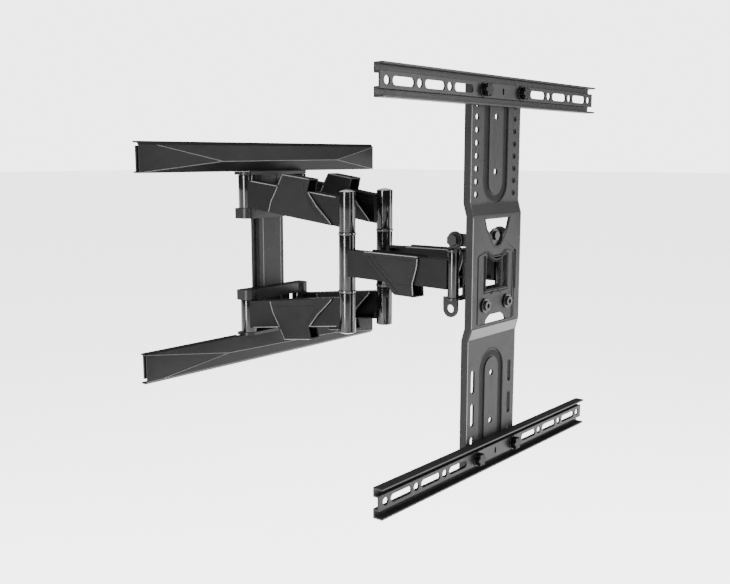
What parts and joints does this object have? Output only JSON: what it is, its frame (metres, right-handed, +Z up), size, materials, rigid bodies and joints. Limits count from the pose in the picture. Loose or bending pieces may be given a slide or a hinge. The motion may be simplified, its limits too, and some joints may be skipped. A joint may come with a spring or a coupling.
{
  "type": "full motion tv wall mount",
  "caption": "Folding dual-arm wall mount with covered wall rails, pressed steel arms, a tilting and levelling head, an upright centre column and slotted television rails.",
  "frame": {"origin": "centre of the wall frame's back, on the wall plane, midway between the wall screw slots", "axes": "+X to the right as the wall is faced from behind the television, +Y into the wall, +Z up"},
  "size_m": [0.426, 0.377, 0.4316],
  "materials": {
    "frame_steel": "satin black powder coat",
    "bracket_steel": "satin black powder coat",
    "wall_cover_plastic": "fine matt black moulding",
    "arm_steel": "satin black powder coat",
    "cable_cover_plastic": "fine matt black moulding",
    "bushing_nylon": "smooth black nylon",
    "pin_steel": "gloss black",
    "cap_plastic": "gloss black moulding",
    "head_steel": "satin black powder coat",
    "bolt_steel": "black oxide",
    "spine_steel": "satin black powder coat",
    "rail_steel": "satin black powder coat",
    "knob_plastic": "matt black moulding"
  },
  "bodies": {
    "wall_mount": {"upper_wall_rail": "frame_steel", "lower_wall_rail": "frame_steel", "wall_back_plate": "frame_steel", "upper_wall_bracket": "bracket_steel", "lower_wall_bracket": "bracket_steel", "upper_wall_cover": "wall_cover_plastic", "lower_wall_cover": "wall_cover_plastic", "left_shoulder_pins": "pin_steel", "right_shoulder_pins": "pin_steel"},
    "left_arm": {"left_upper_arm": "arm_steel", "left_lower_arm": "arm_steel", "left_upper_arm_cover": "cable_cover_plastic", "left_lower_arm_cover": "cable_cover_plastic", "left_shoulder_bushings": "bushing_nylon", "left_elbow_caps": "cap_plastic"},
    "left_elbow": {"left_elbow_shaft": "pin_steel"},
    "left_forearm": {"left_forearm": "arm_steel", "left_forearm_cover": "cable_cover_plastic", "left_elbow_bushings": "bushing_nylon"},
    "head": {"swivel_bracket": "head_steel", "left_head_pin": "pin_steel", "right_head_pin": "pin_steel", "tilt_bolts": "bolt_steel", "tilt_nuts": "bolt_steel"},
    "right_forearm": {"right_forearm": "arm_steel", "right_forearm_cover": "cable_cover_plastic", "right_elbow_bushings": "bushing_nylon"},
    "right_arm": {"right_upper_arm": "arm_steel", "right_lower_arm": "arm_steel", "right_upper_arm_cover": "cable_cover_plastic", "right_lower_arm_cover": "cable_cover_plastic", "right_shoulder_bushings": "bushing_nylon", "right_elbow_caps": "cap_plastic", "right_elbow_shaft": "pin_steel"},
    "tilt_head": {"tilt_plate": "head_steel", "level_lock_bolts": "bolt_steel", "level_lock_nuts": "bolt_steel", "level_pivot_bolt": "bolt_steel", "level_pivot_nut": "bolt_steel"},
    "screen_frame": {"spine": "spine_steel", "upper_tv_rail": "rail_steel", "lower_tv_rail": "rail_steel", "rail_screws": "knob_plastic", "rail_washers": "bolt_steel", "rail_nuts": "bolt_steel"}
  },
  "joints": [
    {"name": "left_fold", "type": "hinge", "parent": "wall_mount", "child": "left_arm", "pos_m": [-0.048, -0.014, 0], "axis": [0, 0, -1], "range_deg": [-4, 86]},
    {"name": "right_fold", "type": "hinge", "parent": "wall_mount", "child": "right_arm", "pos_m": [0.048, -0.014, 0], "axis": [0, 0, 1], "range_deg": [-4, 86]},
    {"name": "left_elbow_shaft", "type": "hinge", "parent": "left_arm", "child": "left_elbow", "pos_m": [-0.036, -0.17756, 0], "axis": [0, 0, 1], "range_deg": [-4, 86]},
    {"name": "left_elbow", "type": "hinge", "parent": "left_elbow", "child": "left_forearm", "pos_m": [-0.036, -0.17756, 0], "axis": [0, 0, 1], "range_deg": [-4, 86]},
    {"name": "left_head_pivot", "type": "hinge", "parent": "left_forearm", "child": "head", "pos_m": [-0.048, -0.34112, 0], "axis": [0, 0, -1], "range_deg": [-4, 86]},
    {"name": "right_head_pivot", "type": "hinge", "parent": "head", "child": "right_forearm", "pos_m": [0.048, -0.34112, 0], "axis": [0, 0, -1], "range_deg": [-4, 86]},
    {"name": "tilt", "type": "hinge", "parent": "head", "child": "tilt_head", "pos_m": [0, -0.34112, 0.038], "axis": [1, 0, 0], "range_deg": [-4, 6]},
    {"name": "level", "type": "hinge", "parent": "tilt_head", "child": "screen_frame", "pos_m": [0, -0.36612, 0.041], "axis": [0, 1, 0], "range_deg": [-3, 3]}
  ],
  "couplings": [
    {"joint": "left_elbow_shaft", "follows": "left_fold", "ratio": 1},
    {"joint": "left_elbow", "follows": "right_fold", "ratio": 1},
    {"joint": "left_head_pivot", "follows": "right_fold", "ratio": 1},
    {"joint": "right_head_pivot", "follows": "left_fold", "ratio": 1}
  ]
}
